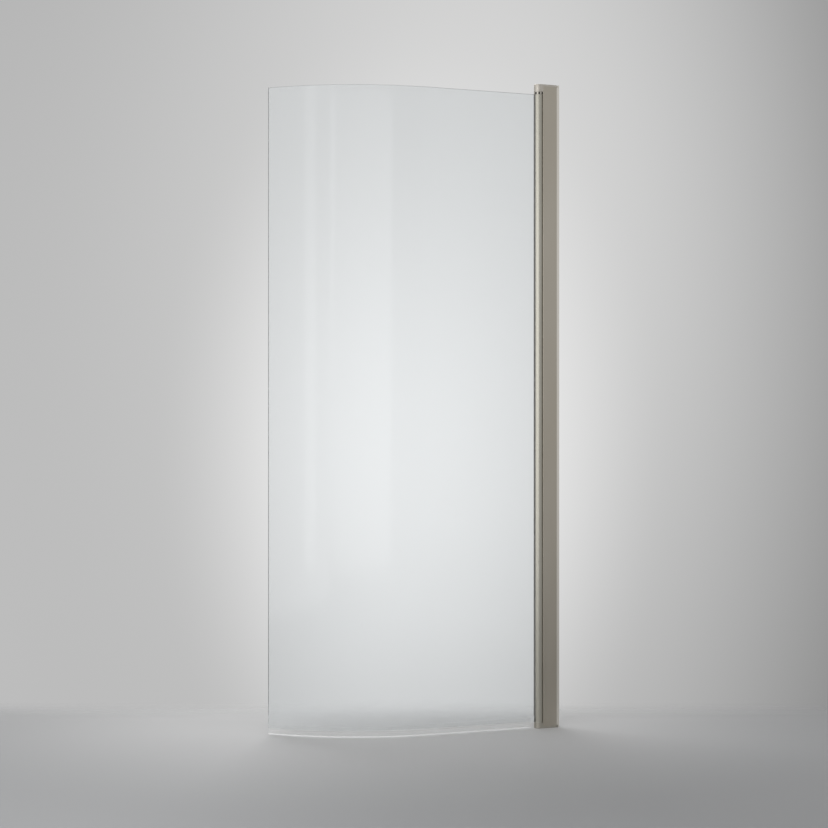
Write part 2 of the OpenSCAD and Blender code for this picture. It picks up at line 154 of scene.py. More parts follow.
class Graph:
    """A node tree of a material or of the world."""

    def __init__(self, owner):
        owner.use_nodes = True
        self.tree = owner.node_tree
        self.tree.nodes.clear()

    def add(self, kind, settings=None, inputs=None):
        node = self.tree.nodes.new(kind)
        for name, value in (settings or {}).items():
            setattr(node, name, value)
        for name, value in (inputs or {}).items():
            if isinstance(value, Wire):
                self.tree.links.new(value.socket, node.inputs[name])
            else:
                node.inputs[name].default_value = value
        return Wire(self, node.outputs[0]) if node.outputs else None

    def noise(self, place, scale, detail):
        return self.add(
            "ShaderNodeTexNoise", {}, {"Vector": place, "Scale": scale, "Detail": detail})

    def stretched(self, place, x, y, z):
        """The place with each axis scaled, so that a pattern on it is drawn out."""
        return self.add("ShaderNodeMapping", {}, {"Vector": place, "Scale": (x, y, z)})

    def blend_colours(self, share, first, second):
        mix = self.add(
            "ShaderNodeMix", {"data_type": "RGBA"}, {0: share, MIX_A: first, MIX_B: second})
        return Wire(self, mix.socket.node.outputs[MIX_RESULT])

    def bump(self, height, distance):
        return self.add("ShaderNodeBump", {}, {"Height": height, "Distance": distance})


class Finish(Graph):
    """A material with one Principled shader. What varies is linked, and the rest is set plainly."""

    def __init__(self, name):
        self.material = bpy.data.materials.new(name)
        super().__init__(self.material)
        self.place = self.add("ShaderNodeTexCoord").out("Object")

    def shader(self, **sockets):
        named = {name.replace("_", " "): value for name, value in sockets.items()}
        principled = self.add("ShaderNodeBsdfPrincipled", {}, named)
        self.add("ShaderNodeOutputMaterial", {}, {"Surface": principled})
        return self.material


# %% [markdown]
# ## Light and backdrop
#
# The photograph is a soft studio picture: no hard shadow anywhere, a broad light from the left
# that draws one pale line down the round tube, and a backdrop that glows in the middle.
# A few large lamps do that better than a bright world, because satin metal only looks like metal
# when there is something long and bright to mirror.
# The world lights the object evenly. What the camera, mirrors and glass see of it is a pale
# backdrop, and this adds no light to the object. A broad upright oval glows in it, with a brighter
# core behind the glass, and past the oval it gets darker from left to right. Behind the viewer
# it is an even grey, and below the horizon it has the tone of the floor, so that the floor's rim
# melts into it from every side.

# %% Make the world
SEEN_LEFT = (0.49, 0.49, 0.49, 1)  # the backdrop far to the left of its glow
SEEN_RIGHT = (0.115, 0.115, 0.115, 1)  # far to the right
SEEN_GLOW = (0.69, 0.69, 0.688, 1)  # in the middle of the broad glow
SEEN_CORE = (0.96, 0.96, 0.96, 1)  # in the bright core behind the glass
SEEN_ROUND = (0.53, 0.53, 0.53, 1)  # to the sides and behind the viewer
SEEN_BELOW = (0.42, 0.42, 0.423, 1)  # there below the horizon
WORLD_LIGHT = 0.55

GLOW_TOWARDS = (0.390, 0.919, 0.0599)
CORE_TOWARDS = (0.356, 0.9345, -0.015)
LEFTWARD = (-0.913, 0.35, -0.21)
SIDE_TO_SIDE = (-0.25, 0.25)  # how far leftwards one looks, from the dark end to the pale end
OVAL = 0.58  # the width of the glow, as a share of its height
GLOW_WIDTH = 21  # degrees from the middle of the glow to its end
CORE_WIDTH = 8.5
BACKDROP_ENDS = (24, 45)  # degrees over which the backdrop turns into the even grey
HORIZON = (-0.16, 0.04)  # the heights between which the tone of the floor ends

world = bpy.data.worlds.new("studio")
bpy.context.scene.world = world
sky = Graph(world)
direction = sky.add("ShaderNodeTexCoord").out("Generated")


def degrees_from(towards):
    """How far one looks past a direction, counted less up and down, which makes upright ovals."""
    flattened = sky.stretched(direction, 1, 1, OVAL)
    unit = sky.add("ShaderNodeVectorMath", {"operation": "NORMALIZE"}, {0: flattened})
    nearness = sky.add(
        "ShaderNodeVectorMath", {"operation": "DOT_PRODUCT"},
        {0: unit, 1: Vector(towards).normalized()}).out("Value")
    return nearness.maths("ARCCOSINE", nearness) * math.degrees(1)


leftward = sky.add(
    "ShaderNodeVectorMath", {"operation": "DOT_PRODUCT"}, {0: direction, 1: LEFTWARD})
side_share = leftward.out("Value").between(*SIDE_TO_SIDE, "LINEAR")
beyond = sky.blend_colours(side_share, SEEN_RIGHT, SEEN_LEFT)
off_glow = degrees_from(GLOW_TOWARDS)
off_core = degrees_from(CORE_TOWARDS)
broad = sky.blend_colours(off_glow.between(0, GLOW_WIDTH), SEEN_GLOW, beyond)
with_core = sky.blend_colours(off_core.between(0, CORE_WIDTH), SEEN_CORE, broad)
height_seen = sky.add("ShaderNodeSeparateXYZ", {}, {0: direction}).out("Z")
all_round = sky.blend_colours(height_seen.between(*HORIZON), SEEN_BELOW, SEEN_ROUND)
backdrop = sky.blend_colours(off_glow.between(*BACKDROP_ENDS), with_core, all_round)
light_path = sky.add("ShaderNodeLightPath")
seen = light_path.out("Is Camera Ray") | light_path.out("Is Glossy Ray")
seen = seen | light_path.out("Is Transmission Ray")
shown = sky.add("ShaderNodeBackground", {}, {"Color": backdrop, "Strength": 1.0})
lights = sky.add("ShaderNodeBackground", {}, {"Color": (1, 1, 1, 1), "Strength": WORLD_LIGHT})
either = sky.add("ShaderNodeMixShader", {}, {0: seen, 1: lights, 2: shown})
sky.add("ShaderNodeOutputWorld", {}, {"Surface": either})
print("world nodes:", len(sky.tree.nodes))

# %% [markdown]
# ## The lamps
#
# Four of the six lamps are large and soft, and give the even light from the left, the front,
# above and the right. Two have a task of their own. A tall narrow one stands where the bend of
# the glass mirrors it as a faint upright streak. A strong one hangs high behind the screen, out
# of sight, and throws its soft shadow over the floor towards the viewer.


# %% Hang the lamps
def soft_box(name, place, aim, width, height, brightness):
    """A large lamp that points at aim. Brightness is that of its own face."""
    lamp = bpy.data.lights.new(name, "AREA")
    lamp.shape = "RECTANGLE"
    lamp.size = width
    lamp.size_y = height
    lamp.energy = brightness * math.pi * width * height
    box = bpy.data.objects.new(name, lamp)
    box.location = place
    box.rotation_euler = (Vector(aim) - Vector(place)).to_track_quat("-Z", "Y").to_euler()
    box.visible_camera = False
    box.visible_transmission = False  # through the glass one sees the backdrop
    bpy.context.scene.collection.objects.link(box)
    print("lamp", name, "watts:", round(lamp.energy))


middle = (cad_low + cad_high) / 2
soft_box("left_box", (-3.1, -0.6, 1.4), middle, 4.2, 2.7, 1.0)
soft_box("streak_box", (-2.85, -1.78, 1.7), (-0.775, 0.1, 1.55), 0.36, 2.9, 0.98)
soft_box("front_box", (-1.8, -3.5, 1.4), middle, 2.5, 2.5, 1.1)
soft_box("top_box", (-0.6, -0.6, 4.0), middle, 2.6, 2.6, 1.1)
soft_box("right_box", (1.6, -3.6, 1.7), middle, 1.8, 2.9, 0.2)
soft_box("shadow_box", (-0.6, 2.2, 3.5), middle, 2.4, 1.0, 7.4)

# %% [markdown]
# ## The floor
#
# A floor that runs to the horizon would cut the picture in half behind the glass, because the
# camera stands low. This one is a disc whose rim fades into the backdrop, early behind the
# screen and later on the other sides. It carries the shadow, and no line crosses the glass.
# The backdrop's glow would light a real floor too, so this one has a painted pool of light below
# it, and painted shade makes it a little darker towards the viewer.

# %% Lay the floor
FLOOR_PAINTED_SHADE = (0.283, 0.286, 0.291, 1)  # towards the viewer
FLOOR_PAINTED_POOL = (0.55, 0.55, 0.55, 1)  # below the glow of the backdrop
FLOOR_MIDDLE = (-0.717, -0.619)
PAINTED_POOL_PLACE = (0.32, 1.12, 0)  # counted from the middle of the floor
PAINTED_POOL_REACH = 1.65
FLOOR_FADES = (1.45, 2.2)  # metres from the middle, where the fade starts and ends
BACK_FADES = (0.95, 1.32)  # the same, straight towards the backdrop

bpy.ops.object.select_all(action="DESELECT")
bpy.ops.mesh.primitive_circle_add(
    vertices=96, radius=FLOOR_FADES[1], fill_type="NGON", location=(*FLOOR_MIDDLE, cad_low.z))
floor = bpy.context.active_object
floor.name = "floor"
ground = Finish("floor_with_painted_pool")
reach = ground.add("ShaderNodeVectorMath", {"operation": "LENGTH"}, {0: ground.place}).out("Value")
# Painted light and shade: pale in a pool below the glow, and darker the farther from it.
away = ground.add(
    "ShaderNodeVectorMath", {"operation": "DISTANCE"}, {0: ground.place, 1: PAINTED_POOL_PLACE})
floor_painted_light = ground.blend_colours(
    away.out("Value").between(0, PAINTED_POOL_REACH), FLOOR_PAINTED_POOL, FLOOR_PAINTED_SHADE)
back = ground.add(
    "ShaderNodeVectorMath", {"operation": "DOT_PRODUCT"}, {0: ground.place, 1: looks_along})
fade = reach.between(*FLOOR_FADES) | back.out("Value").between(*BACK_FADES)
paint = ground.add(
    "ShaderNodeBsdfPrincipled", {}, {"Base Color": floor_painted_light, "Roughness": 0.6})
clear = ground.add("ShaderNodeBsdfTransparent")
faded = ground.add("ShaderNodeMixShader", {}, {0: fade, 1: paint, 2: clear})
ground.add("ShaderNodeOutputMaterial", {}, {"Surface": faded})
floor.data.materials.append(ground.material)
print("floor radius in m:", FLOOR_FADES[1])

# %% [markdown]
# ## Satin metal
#
# The profiles are drawn aluminium, blasted satin and anodised to a warm grey between nickel and
# bronze. Close up, an anodised profile has very fine lines along its length, from the die, and a
# faint cloudiness from the bath. The lines are noise that is stretched some 300 times along Z.
# The brackets are cast and then blasted, so theirs is an even grain with no direction.

# %% Finish the profiles
BRONZE = (0.465, 0.431, 0.371, 1)
BRONZE_DEEP = (0.425, 0.390, 0.329, 1)


def profile_finish(name, light, deep):
    """Satin anodised aluminium with die lines along Z."""
    metal = Finish(name)
    cloud = metal.noise(metal.stretched(metal.place, 6, 6, 1.5), 1.0, 3)
    lines = metal.noise(metal.stretched(metal.place, 900, 900, 2.5), 1.0, 2)
    broad_lines = metal.noise(metal.stretched(metal.place, 160, 160, 0.6), 1.0, 2)
    colour = metal.blend_colours(cloud.between(0.3, 0.7), deep, light)
    return metal.shader(
        Base_Color=colour,
        Metallic=1.0,
        Roughness=0.33 + (lines - 0.5) * 0.14 + (cloud - 0.5) * 0.10,
        Normal=metal.bump(lines * 0.6 + broad_lines, 0.00004))


profile_metal = profile_finish("satin_profile", BRONZE, BRONZE_DEEP)
tube_metal = profile_finish("satin_tube", (0.47, 0.455, 0.40, 1), (0.43, 0.415, 0.36, 1))
# The wall channel is painted paler than the post: partly a lighter finish, partly a painted sheen for the light
# that the left-out mounting wall throws on it.
channel_metal_and_sheen = profile_finish("satin_channel_and_sheen", (0.75, 0.722, 0.662, 1), (0.71, 0.682, 0.622, 1))


# %% Finish the castings
def blasted_finish(name, light, deep):
    """Cast and blasted aluminium, anodised like the profiles."""
    metal = Finish(name)
    grain = metal.noise(metal.place, 2600, 3)
    cloud = metal.noise(metal.place, 60, 3)
    colour = metal.blend_colours(cloud.between(0.3, 0.7), deep, light)
    return metal.shader(
        Base_Color=colour,
        Metallic=1.0,
        Roughness=0.36 + (grain - 0.5) * 0.16 + (cloud - 0.5) * 0.08,
        Normal=metal.bump(grain, 0.00006))


# The casting is paler than the profiles: partly its own blasted finish, partly a painted highlight for the bright
# nose of the top bracket.
casting_metal_and_highlight = blasted_finish("satin_casting_and_highlight", (0.53, 0.50, 0.45, 1), (0.48, 0.45, 0.40, 1))
# The foot is the same casting painted darker: painted shade for the dimmer light near the floor.
foot_metal_painted_shade = blasted_finish("satin_foot_painted_shade", (0.45, 0.425, 0.375, 1), (0.41, 0.385, 0.335, 1))

# %% [markdown]
# ## Screws and pins
#
# Turned stainless steel mirrors more than anodised aluminium, and the tool leaves fine marks.
# At this size they needn't be drawn as rings: a tight noise, a little longer along Z, keeps the
# heads from looking like chrome.

# %% Finish the steel
steel = Finish("stainless_steel")
marks = steel.noise(steel.stretched(steel.place, 1800, 1800, 300), 1.0, 2)
steel_metal = steel.shader(
    Base_Color=steel.blend_colours(marks, (0.56, 0.55, 0.53, 1), (0.66, 0.65, 0.63, 1)),
    Metallic=1.0,
    Roughness=0.22 + (marks - 0.5) * 0.2,
    Normal=steel.bump(marks, 0.00003))


# %% [markdown]
# ## Rubber and nylon
#
# The dark gasket beside the tube is extruded rubber: matt, a little cloudy and faintly ribbed
# along its length. The collar, washer and plugs are moulded black nylon, and the bushes and
# glazing blocks are natural nylon.

# %% Finish the plastics
def moulded_finish(name, colour, pale, roughness, grain_scale, along=1.0):
    """A matt moulded or extruded plastic. Along is the stretch of its grain in Z."""
    plastic = Finish(name)
    grain = plastic.noise(
        plastic.stretched(plastic.place, grain_scale, grain_scale, grain_scale * along), 1.0, 3)
    cloud = plastic.noise(plastic.place, 45, 2)
    return plastic.shader(
        Base_Color=plastic.blend_colours(cloud.between(0.25, 0.75), colour, pale),
        Roughness=roughness + (grain - 0.5) * 0.2,
        Normal=plastic.bump(grain, 0.00005))


rubber = moulded_finish(
    "dark_rubber", (0.19, 0.188, 0.180, 1), (0.225, 0.222, 0.213, 1), 0.62, 1500, 0.01)
# The post seals are a paler grey than the glazing rubber: partly a grey rubber, partly painted light that lifts
# the shade in the gap between tube and post.
seal_rubber_and_painted_light = moulded_finish(
    "post_seal_rubber", (0.42, 0.415, 0.40, 1), (0.50, 0.495, 0.48, 1), 0.6, 1500, 0.01)
black_nylon = moulded_finish(
    "black_nylon", (0.004, 0.004, 0.004, 1), (0.009, 0.009, 0.009, 1), 0.7, 1800)
white_nylon = moulded_finish(
    "white_nylon", (0.70, 0.69, 0.64, 1), (0.76, 0.75, 0.71, 1), 0.45, 1200)

# %% [markdown]
# ## Frosted glass
#
# The sheet is toughened glass, etched so lightly that light and shade still come through but
# outlines melt. A rough transmission does that. A small share of plain diffuse white gives the
# milky veil that an etched face has when light falls on it, and a thin, nearly smooth coat gives
# back the soft shine that runs down the bend.
# The polished edge stays clear, and there one looks through the width of the sheet, so it is
# greener and darker than the faces.

# %% Finish the glass
frosted = Finish("frosted_glass")
etch = frosted.noise(frosted.place, 900, 3)
drift = frosted.noise(frosted.place, 5, 2)
frosted_glass = frosted.shader(
    Base_Color=frosted.blend_colours(drift, (0.925, 0.948, 0.958, 1), (0.935, 0.955, 0.963, 1)),
    Roughness=0.17 + (etch - 0.5) * 0.04 + (drift - 0.5) * 0.02,
    IOR=1.5,
    Specular_Tint=(0.2, 0.2, 0.2, 1),
    Transmission_Weight=0.95,
    Coat_Weight=0.6,
    Coat_Roughness=0.085,
    Normal=frosted.bump(etch, 0.00002))

edge = Finish("polished_edge")
ripple = edge.noise(edge.stretched(edge.place, 40, 40, 12), 1.0, 2)
polished_edge = edge.shader(
    Base_Color=edge.blend_colours(ripple, (0.93, 0.97, 0.96, 1), (0.96, 0.99, 0.98, 1)),
    Roughness=0.06 + ripple * 0.05,
    IOR=1.5,
    Transmission_Weight=0.9,
    Normal=edge.bump(ripple, 0.0001))

# %% [markdown]
# ## Clear vinyl
#
# The strip under the glass is clear soft vinyl. Its walls are about a millimetre thick, so one
# sees straight through them, and only a thin haze, the die's level lines and the bright
# bead along the foot show. Refraction would draw each hidden wall as a dark band, so this
# finish is a pale plastic that is mostly left out by its alpha. The lip gets denser and a little
# paler towards the bead, partly because there one looks through more of it and partly as a
# painted highlight for the bright line that the clear bead catches.

# %% Finish the vinyl
vinyl = Finish("clear_vinyl")
die = vinyl.noise(vinyl.stretched(vinyl.place, 6, 6, 1400), 1.0, 2)
height = vinyl.add("ShaderNodeSeparateXYZ", {}, {0: vinyl.place}).out("Z")
# Partly painted highlight: the bead is paler and more opaque than the rest of the strip.
bead = 1 - height.between(0.0035, 0.0065)
clear_vinyl = vinyl.shader(
    Base_Color=vinyl.blend_colours(bead, (0.86, 0.87, 0.87, 1), (0.90, 0.91, 0.91, 1)),
    Roughness=0.16 + die * 0.12,
    IOR=1.45,
    Alpha=0.06 + die * 0.06 + bead * 0.34,
    Normal=vinyl.bump(die, 0.00005))

# %% [markdown]
# ## Dress the frame
#
# The CAD nodes keep their shape. Each gets its finish through its material slots, by the slot
# name that the record gives it.

# %% Give every node its finish
FINISH_OF_SLOT = {
    "bronze_profile": profile_metal,
    "bronze_casting": casting_metal_and_highlight,
    "stainless": steel_metal,
    "dark_rubber": rubber,
    "white_nylon": white_nylon,
    "black_nylon": black_nylon,
    "frosted_glass": frosted_glass,
    "clear_vinyl": clear_vinyl,
}
for part in frame["record"]["subparts"]:
    nodes[part["node"]].material_slots[0].material = FINISH_OF_SLOT[part["material_slot"]]
nodes["wall_channel"].material_slots[0].material = channel_metal_and_sheen
for seal in ("outer_post_seal", "inner_post_seal"):
    nodes[seal].material_slots[0].material = seal_rubber_and_painted_light

# %% [markdown]
# ## Tools of the bench
#
# Every new piece is modelled as by hand: a primitive is added at its size and place, then
# faces or edges are picked and pulled, spun, inset or bevelled. An operator works on whatever is
# selected, so each helper first deselects everything and then picks by place or by normal.
# The place of a primitive is put into its mesh at once, so that its own measures and the
# frame's are the same from then on. At the end the faces are turned outwards, and the shading
# is weighted by the size of the faces, so that a flat face looks flat up to its rounded edge.


# %% Start from a primitive
def start(name):
    """Names the primitive that was just added, and puts its place into its mesh."""
    piece = bpy.context.active_object
    piece.name = name
    piece.data.name = name
    bpy.ops.object.transform_apply(location=True, rotation=True, scale=True)
    return piece


def add_block(name, low, high):
    low, high = Vector(low), Vector(high)
    bpy.ops.object.select_all(action="DESELECT")
    bpy.ops.mesh.primitive_cube_add(size=1, location=(low + high) / 2, scale=high - low)
    return start(name)


def add_disc(name, x, y, low_z, high_z, radius, sides=96, top_radius=None):
    """An upright cylinder, or a cone where the top has a radius of its own."""
    bpy.ops.object.select_all(action="DESELECT")
    bpy.ops.mesh.primitive_cone_add(
        vertices=sides, radius1=radius, radius2=radius if top_radius is None else top_radius,
        depth=high_z - low_z, location=(x, y, (low_z + high_z) / 2))
    return start(name)


# %% Pick and change
def make_active(piece):
    bpy.ops.object.select_all(action="DESELECT")
    piece.select_set(True)
    bpy.context.view_layer.objects.active = piece


def pick(piece, kind, wanted):
    """Opens the piece for editing, with only the faces or edges selected that are wanted."""
    make_active(piece)
    bpy.ops.object.mode_set(mode="EDIT")
    bpy.ops.mesh.select_mode(type=kind)
    bpy.ops.mesh.select_all(action="DESELECT")
    shape = bmesh.from_edit_mesh(piece.data)
    found = [part for part in (shape.faces if kind == "FACE" else shape.edges) if wanted(part)]
    for part in found:
        part.select_set(True)
    bmesh.update_edit_mesh(piece.data)
    return len(found)


def close():
    bpy.ops.object.mode_set(mode="OBJECT")


def pull(piece, kind, wanted, move):
    """Extrudes the wanted faces or edges by a move."""
    pick(piece, kind, wanted)
    bpy.ops.mesh.extrude_region_move(TRANSFORM_OT_translate={"value": move})
    close()


def slice_at(piece, point, normal, keep_below=False):
    """Cuts the piece by a plane. With keep_below, what lies past the plane is cleared."""
    pick(piece, "FACE", lambda face: True)
    bpy.ops.mesh.bisect(
        plane_co=point, plane_no=normal, use_fill=keep_below, clear_outer=keep_below)
    close()


def middle_of(edge):
    return (edge.verts[0].co + edge.verts[1].co) / 2


NEAR = 0.00002  # two places are the same when they are this near, in metres


def near(first, second):
    return abs(first - second) < NEAR


# %% Modifiers, applied at once
def use(piece, kind, **settings):
    """Adds a modifier, sets it and applies it."""
    make_active(piece)
    modifier = piece.modifiers.new(kind.lower(), kind)
    for name, value in settings.items():
        setattr(modifier, name, value)
    bpy.ops.object.modifier_apply(modifier=modifier.name)


def combine(piece, operation, other):
    """Cuts the other shape out of the piece, or joins it on, and throws the other away."""
    use(piece, "BOOLEAN", operation=operation, object=other, solver="EXACT")
    bpy.data.objects.remove(other)


def soften(piece, width, steps=2, from_angle=50):
    """Rounds every edge sharper than an angle."""
    use(piece, "BEVEL", width=width, segments=steps, limit_method="ANGLE",
        angle_limit=math.radians(from_angle), use_clamp_overlap=True)


# %% Finish a piece
def volume_of(piece):
    shape = bmesh.new()
    shape.from_mesh(piece.data)
    volume = shape.calc_volume(signed=True)
    open_edges = sum(len(edge.link_faces) != 2 for edge in shape.edges)
    shape.free()
    return volume, open_edges


def complete(piece, finish, body, *stands_for, smooth_below=30):
    """Closes the modelling: clean faces that look outwards, shading, finish, body and node."""
    pick(piece, "FACE", lambda face: True)
    bpy.ops.mesh.remove_doubles(threshold=0.000002)
    bpy.ops.mesh.normals_make_consistent(inside=False)
    close()
    bpy.ops.object.shade_smooth_by_angle(angle=math.radians(smooth_below))
    use(piece, "WEIGHTED_NORMAL", keep_sharp=True)
    if not piece.data.materials:
        piece.data.materials.append(finish)
    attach(piece, body)
    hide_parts(*stands_for)
    volume, open_edges = volume_of(piece)
    corners = (piece.bound_box[0], piece.bound_box[6])
    print(f"{piece.name}: {len(piece.data.polygons)} faces, {volume * 1e6:.2f} cm3,",
          f"{open_edges} open edges, box in mm",
          [round(1000 * value, 2) for corner in corners for value in corner])
    return piece


# %% [markdown]
# ## Measures from the frame
#
# The hinge axis comes from the frame's joint, and the other places from the boxes of its nodes.
# What a box can't say is the plan of the glass: a flat stretch, then one round bend.

# %% Take the measures
MM = 0.001
hinge = next(joint for joint in frame["joints"] if joint["type"] == "hinge")
AXIS_X = hinge["pos_m"][0]
glass_low, glass_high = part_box("glass_panel")
tube_low, tube_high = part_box("hinge_tube")
post_low, post_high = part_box("hinge_post")
HALF_GLASS = -glass_low.y
TUBE_R = 14 * MM
FLAT_LENGTH = 364.5 * MM  # from the hinge axis to the start of the bend
BEND_R = 640 * MM
BEND_ANGLE = math.radians(45)
BEND_STEPS = 60
BEND_X = AXIS_X - FLAT_LENGTH
BEND_CENTRE = Vector((BEND_X, BEND_R, 0))
free_edge_x = BEND_X - (BEND_R + HALF_GLASS) * math.sin(BEND_ANGLE)
print("free edge of the glass in mm:", round(1000 * free_edge_x, 2))
print("the same in the frame:", round(1000 * glass_low.x, 2))


def off_middle(point):
    """How far a point lies from the middle of the glass, in plan."""
    if point.x > BEND_X:
        return abs(point.y)
    return abs((Vector((point.x, point.y, 0)) - BEND_CENTRE).length - BEND_R)


def round_the_bend(piece):
    """Spins the faces at the end of the flat stretch round the bend."""
    pick(piece, "FACE", lambda face: near(face.calc_center_median().x, BEND_X))
    bpy.ops.mesh.spin(steps=BEND_STEPS, angle=BEND_ANGLE, center=BEND_CENTRE, axis=(0, 0, 1))
    close()


# %% [markdown]
# ## The glass sheet
#
# A sheet could be a curve with a thickness, but then its inner corners couldn't be notched. So it
# starts as a flat bar of glass, 6 mm thick, between the bend and the notches. Two level cuts
# divide its inner end, and only the middle face is pulled on into the hinge tube: that leaves
# the notches for the plugs. The other end is spun round the bend.
# Real glass has its rims ground to a small flat at 45 degrees, which is what catches the light
# along the free edge. The rims are polished clear and the faces are etched.

# %% Model the glass sheet
NOTCH_X = AXIS_X - 7.2 * MM
NOTCH_H = 45 * MM
ARRIS = 0.8 * MM

sheet = add_block(
    "glass_sheet", (BEND_X, -HALF_GLASS, glass_low.z), (NOTCH_X, HALF_GLASS, glass_high.z))
notch_low = glass_low.z + NOTCH_H
notch_high = glass_high.z - NOTCH_H
for level in (notch_low, notch_high):
    slice_at(sheet, (0, 0, level), (0, 0, 1))
pull(
    sheet, "FACE",
    lambda face: face.normal.x > 0.9 and notch_low < face.calc_center_median().z < notch_high,
    (glass_high.x - NOTCH_X, 0, 0))
round_the_bend(sheet)
soften(sheet, ARRIS, steps=1)
sheet.data.materials.append(frosted_glass)
sheet.data.materials.append(polished_edge)
for face in sheet.data.polygons:
    on_a_face = near(off_middle(face.center), HALF_GLASS) and abs(face.normal.z) < 0.1
    face.material_index = 0 if on_a_face else 1
complete(sheet, frosted_glass, "door", "glass_panel", smooth_below=5)

# %% [markdown]
# ## The strip under the glass
#
# The strip is one extrusion of clear vinyl: a channel that grips the glass, a lip that hangs
# nearly to the floor and a fin that throws water back. Its section is grown from a single
# small face, edge by edge, the way one would draw it. Then the flat section is pulled along the
# straight stretch and spun round the bend. The lip ends in a thick round bead, and that bead is
# the bright line at the foot of the screen.

# %% Grow the section of the strip
strip_low, strip_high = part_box("bottom_seal")
GRIP = HALF_GLASS + 0.1 * MM  # half the inner width of the channel
LEG = 1.2 * MM
LIP = 0.8 * MM  # half the thickness of the lip
WEB_TOP = glass_low.z - 0.1 * MM
WEB_FOOT = WEB_TOP - 2.4 * MM
BEAD_R = 1.7 * MM
strip_x = strip_high.x

bpy.ops.object.select_all(action="DESELECT")
bpy.ops.mesh.primitive_plane_add(
    size=1, rotation=(0, math.pi / 2, 0), location=(strip_x, 0, (WEB_TOP + WEB_FOOT) / 2))
bpy.context.active_object.scale = (WEB_TOP - WEB_FOOT, 2 * LIP, 1)
strip = start("sill_strip")


def upright_at(y, under=strip_high.z):
    return lambda edge: all(
        near(vert.co.y, y) and vert.co.z < under + NEAR for vert in edge.verts)


def level_at(z, low_y, high_y):
    def wanted(edge):
        first, second = (vert.co for vert in edge.verts)
        return near(first.z, z) and near(second.z, z) and low_y < middle_of(edge).y < high_y
    return wanted


for side in (1, -1):
    pull(strip, "EDGE", upright_at(side * LIP), (0, side * (GRIP - LIP), 0))
    pull(strip, "EDGE", upright_at(side * GRIP), (0, side * LEG, 0))
    outer = sorted((side * GRIP, side * (GRIP + LEG)))
    pull(strip, "EDGE", level_at(WEB_TOP, *outer), (0, 0, strip_high.z - WEB_TOP))
print("section faces after the channel:", len(strip.data.polygons))

# %% Hang the lip and the fin
bead_z = strip_low.z + BEAD_R
lip_z = WEB_FOOT
pull(strip, "EDGE", level_at(lip_z, -LIP, LIP), (0, 0, bead_z + BEAD_R - lip_z))
lip_z = bead_z + BEAD_R
BEAD_STEPS = 6
half_width = LIP
for step in range(1, BEAD_STEPS + 1):
    turn = math.pi * (0.15 + 0.85 * step / BEAD_STEPS)
    next_z = bead_z + BEAD_R * math.cos(turn)
    pull(strip, "EDGE", level_at(lip_z, -2 * BEAD_R, 2 * BEAD_R), (0, 0, next_z - lip_z))
    lip_z = next_z
    next_half = max(BEAD_R * math.sin(turn), 0.35 * MM)
    pick(strip, "EDGE", level_at(lip_z, -2 * BEAD_R, 2 * BEAD_R))
    bpy.ops.transform.resize(
        value=(1, next_half / half_width, 1), center_override=(strip_x, 0, lip_z))
    close()
    half_width = next_half

FIN_STEPS = ((1.8, -0.8, 0.75), (1.7, -1.5, 0.75), (1.3, -2.3, 0.8))  # out, up, share of thickness
fin_y = GRIP + LEG
fin_middle = (WEB_TOP + WEB_FOOT) / 2
for out, up, thinner in FIN_STEPS:
    pull(strip, "EDGE", upright_at(fin_y, WEB_TOP), (0, out * MM, up * MM))
    fin_y += out * MM
    fin_middle += up * MM
    pick(strip, "EDGE", upright_at(fin_y))
    bpy.ops.transform.resize(value=(1, 1, thinner), center_override=(strip_x, fin_y, fin_middle))
    close()
print("section faces:", len(strip.data.polygons))

# %% Pull the strip along the glass
pull(strip, "FACE", lambda face: True, (BEND_X - strip_x, 0, 0))
round_the_bend(strip)
soften(strip, 0.25 * MM)
complete(strip, clear_vinyl, "door", "bottom_seal")

# %% [markdown]
# ## The rubbers beside the glass
#
# Two rubber profiles wedge the glass in the slot of the tube, one on each side. Only their lips
# show, as the dark line between tube and glass. An extruded lip is never sharp: it leans on the
# glass with a rounded nose. So a long block gets its outer long edge bevelled in six steps, and
# the second rubber is a mirrored copy with a mesh of its own.

# %% Model the glass rubbers
rubber_low, rubber_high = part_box("outer_gasket")
LIP_ROUND = 1.4 * MM


def copy_of(piece, name):
    twin = piece.copy()
    twin.data = piece.data.copy()
    twin.name = name
    twin.data.name = name
    bpy.context.scene.collection.objects.link(twin)
    return twin


outer_rubber = add_block("outer_glass_rubber", rubber_low, rubber_high)
pick(
    outer_rubber, "EDGE", lambda edge: all(
        near(vert.co.x, rubber_low.x) and near(vert.co.y, rubber_low.y) for vert in edge.verts))
bpy.ops.mesh.bevel(offset=LIP_ROUND, segments=6)
close()
soften(outer_rubber, 0.15 * MM, from_angle=60)
inner_rubber = copy_of(outer_rubber, "inner_glass_rubber")
pick(inner_rubber, "FACE", lambda face: True)
bpy.ops.transform.resize(value=(1, -1, 1), center_override=(0, 0, 0))
close()
complete(outer_rubber, rubber, "door", "outer_gasket")
complete(inner_rubber, rubber, "door", "inner_gasket")

# %% [markdown]
# ## The hinge tube
#
# The tube is an extrusion with a slot for the glass, and two ribs inside guide the glazing
# blocks. Its round wall could be a curve with a thickness, but the slot has parallel sides, not
# radial ones. So it is cut from the full round: bored, ribbed, then slotted, as its die
# would do it. The die leaves the lips of the slot and the sawn ends slightly round, and
# those small roundings are what ends the pale line of light cleanly.

# %% Bore, rib and slot the tube
SLOT_Y = 5 * MM
WALL = 2 * MM
RIB = 1.5 * MM
SLOT_FLOOR_X = AXIS_X + 4 * MM
BORED = 43 * MM  # both ends are bored clear of the ribs
PAST = 5 * MM  # how far a cutting shape passes through what it cuts

